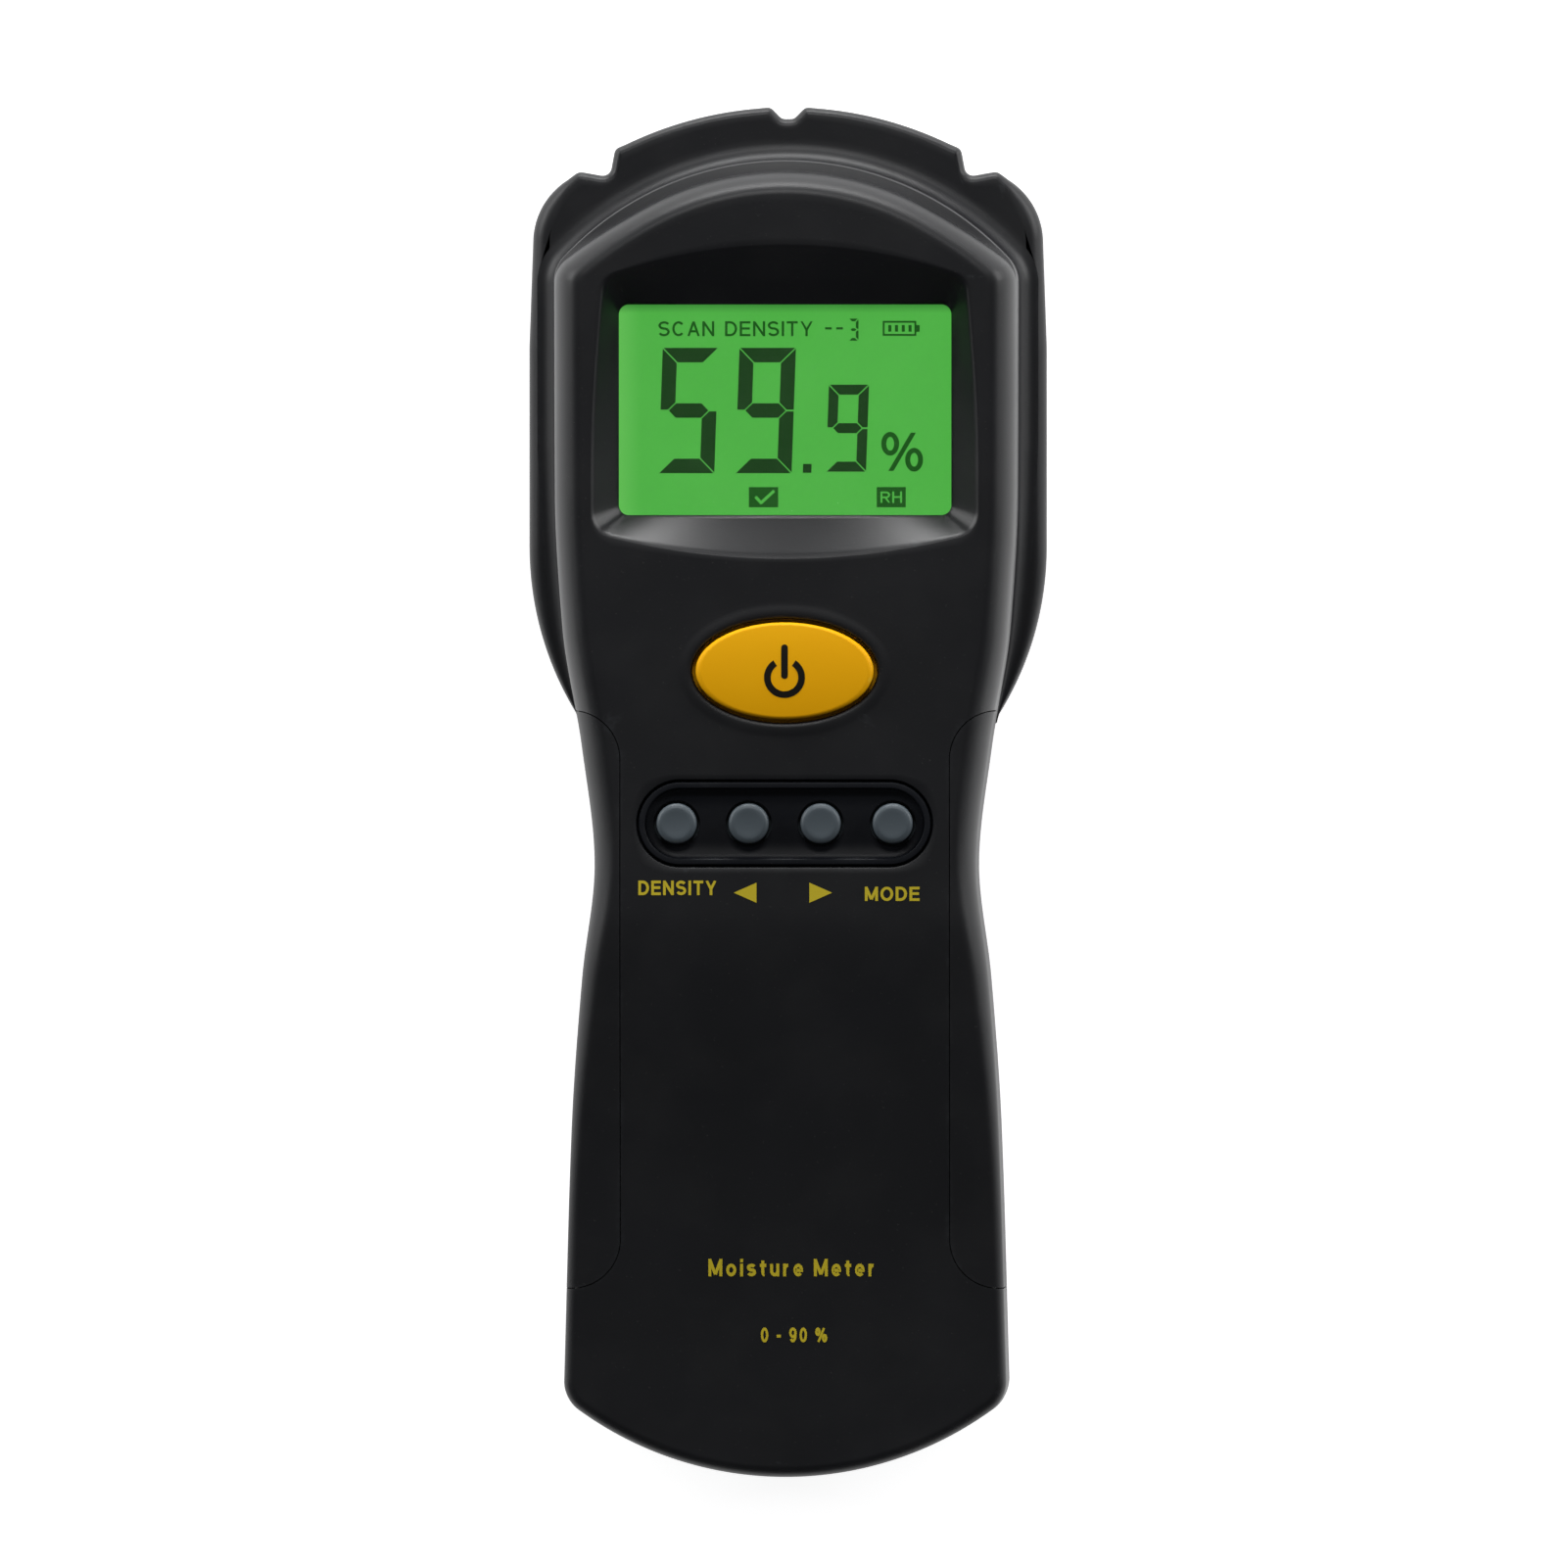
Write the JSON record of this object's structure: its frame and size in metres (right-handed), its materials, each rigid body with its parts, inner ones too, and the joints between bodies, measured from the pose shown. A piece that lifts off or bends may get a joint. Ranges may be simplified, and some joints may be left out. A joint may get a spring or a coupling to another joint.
{
  "type": "moisture meter",
  "caption": "Hand-held pinless moisture meter: notched sensor head, backlit display, oval power key, round keys in a trough, soft side grips and a rear battery door.",
  "frame": {"origin": "under the middle of the meter, on the surface that its flat back rests on", "axes": "+Z out of the display, +Y along the length towards the notched sensor head, +X to the right of the display"},
  "size_m": [0.07, 0.1849, 0.035],
  "materials": {
    "housing_plastic": "fine moulded texture",
    "grip_rubber": "soft matt",
    "bezel_gloss": "polished",
    "window_clear": "clear",
    "screen_green": "backlit green, emissive",
    "power_key_yellow": "satin",
    "round_key_grey": "soft matt",
    "frame_white": "satin",
    "guide_acrylic": "milky",
    "strip_pink": "layered elastomer",
    "board_green": "solder mask",
    "board_white": "solder mask",
    "chip_black": "moulded",
    "plunger_red": "moulded",
    "contact_metal": "nickel plated",
    "cell_sleeve": "printed sleeve",
    "sole_plastic": "plain",
    "foam_grey": "foam",
    "lead_black": "insulation",
    "lead_red": "insulation"
  },
  "bodies": {
    "housing": {"front_housing": "housing_plastic", "rear_housing": "housing_plastic", "left_side_grip": "grip_rubber", "right_side_grip": "grip_rubber", "key_bezel": "bezel_gloss", "display_window": "window_clear", "lcd_glass": "screen_green", "lcd_frame": "frame_white", "backlight_guide": "guide_acrylic", "upper_contact_strip": "strip_pink", "lower_contact_strip": "strip_pink", "main_board": "board_green", "sensor_board": "board_green", "backlight_led_board": "board_white", "processor_chip": "chip_black", "amplifier_chip": "chip_black", "smoothing_capacitor": "chip_black", "power_switch": "chip_black", "density_switch": "chip_black", "left_arrow_switch": "chip_black", "right_arrow_switch": "chip_black", "mode_switch": "chip_black", "clock_crystal": "contact_metal", "positive_terminal": "contact_metal", "negative_terminal": "contact_metal", "head_bridge_contact": "contact_metal", "tail_bridge_contact": "contact_metal", "battery_spring_left": "contact_metal", "battery_spring_middle": "contact_metal", "battery_spring_right": "contact_metal", "case_screw_1": "contact_metal", "case_screw_2": "contact_metal", "case_screw_3": "contact_metal", "case_screw_4": "contact_metal", "board_screw_1": "contact_metal", "board_screw_2": "contact_metal", "board_screw_3": "contact_metal", "board_screw_4": "contact_metal", "battery_cell_left": "cell_sleeve", "battery_cell_middle": "cell_sleeve", "battery_cell_right": "cell_sleeve", "sensor_pad": "sole_plastic", "sensor_foam": "foam_grey", "sensor_lead": "lead_black", "black_battery_lead": "lead_black", "red_battery_lead": "lead_red"},
    "power_key": {"power_key": "power_key_yellow", "power_switch_plunger": "plunger_red"},
    "density_key": {"density_key": "round_key_grey", "density_switch_plunger": "plunger_red"},
    "left_arrow_key": {"left_arrow_key": "round_key_grey", "left_arrow_switch_plunger": "plunger_red"},
    "right_arrow_key": {"right_arrow_key": "round_key_grey", "right_arrow_switch_plunger": "plunger_red"},
    "mode_key": {"mode_key": "round_key_grey", "mode_switch_plunger": "plunger_red"},
    "battery_door": {"battery_door": "housing_plastic"}
  },
  "joints": [
    {"name": "power_press", "type": "slide", "parent": "housing", "child": "power_key", "axis": [0, 0, -1], "range_m": [0, 0.0006], "stiffness_N_per_m": 600, "springref_m": -0.0002},
    {"name": "density_press", "type": "slide", "parent": "housing", "child": "density_key", "axis": [0, 0, -1], "range_m": [0, 0.0005], "stiffness_N_per_m": 600, "springref_m": -0.0002},
    {"name": "left_arrow_press", "type": "slide", "parent": "housing", "child": "left_arrow_key", "axis": [0, 0, -1], "range_m": [0, 0.0005], "stiffness_N_per_m": 600, "springref_m": -0.0002},
    {"name": "right_arrow_press", "type": "slide", "parent": "housing", "child": "right_arrow_key", "axis": [0, 0, -1], "range_m": [0, 0.0005], "stiffness_N_per_m": 600, "springref_m": -0.0002},
    {"name": "mode_press", "type": "slide", "parent": "housing", "child": "mode_key", "axis": [0, 0, -1], "range_m": [0, 0.0005], "stiffness_N_per_m": 600, "springref_m": -0.0002},
    {"name": "battery_door_hinge", "type": "hinge", "parent": "housing", "child": "battery_door", "pos_m": [0, -0.02185, 0], "axis": [1, 0, 0], "range_deg": [0, 100]}
  ]
}
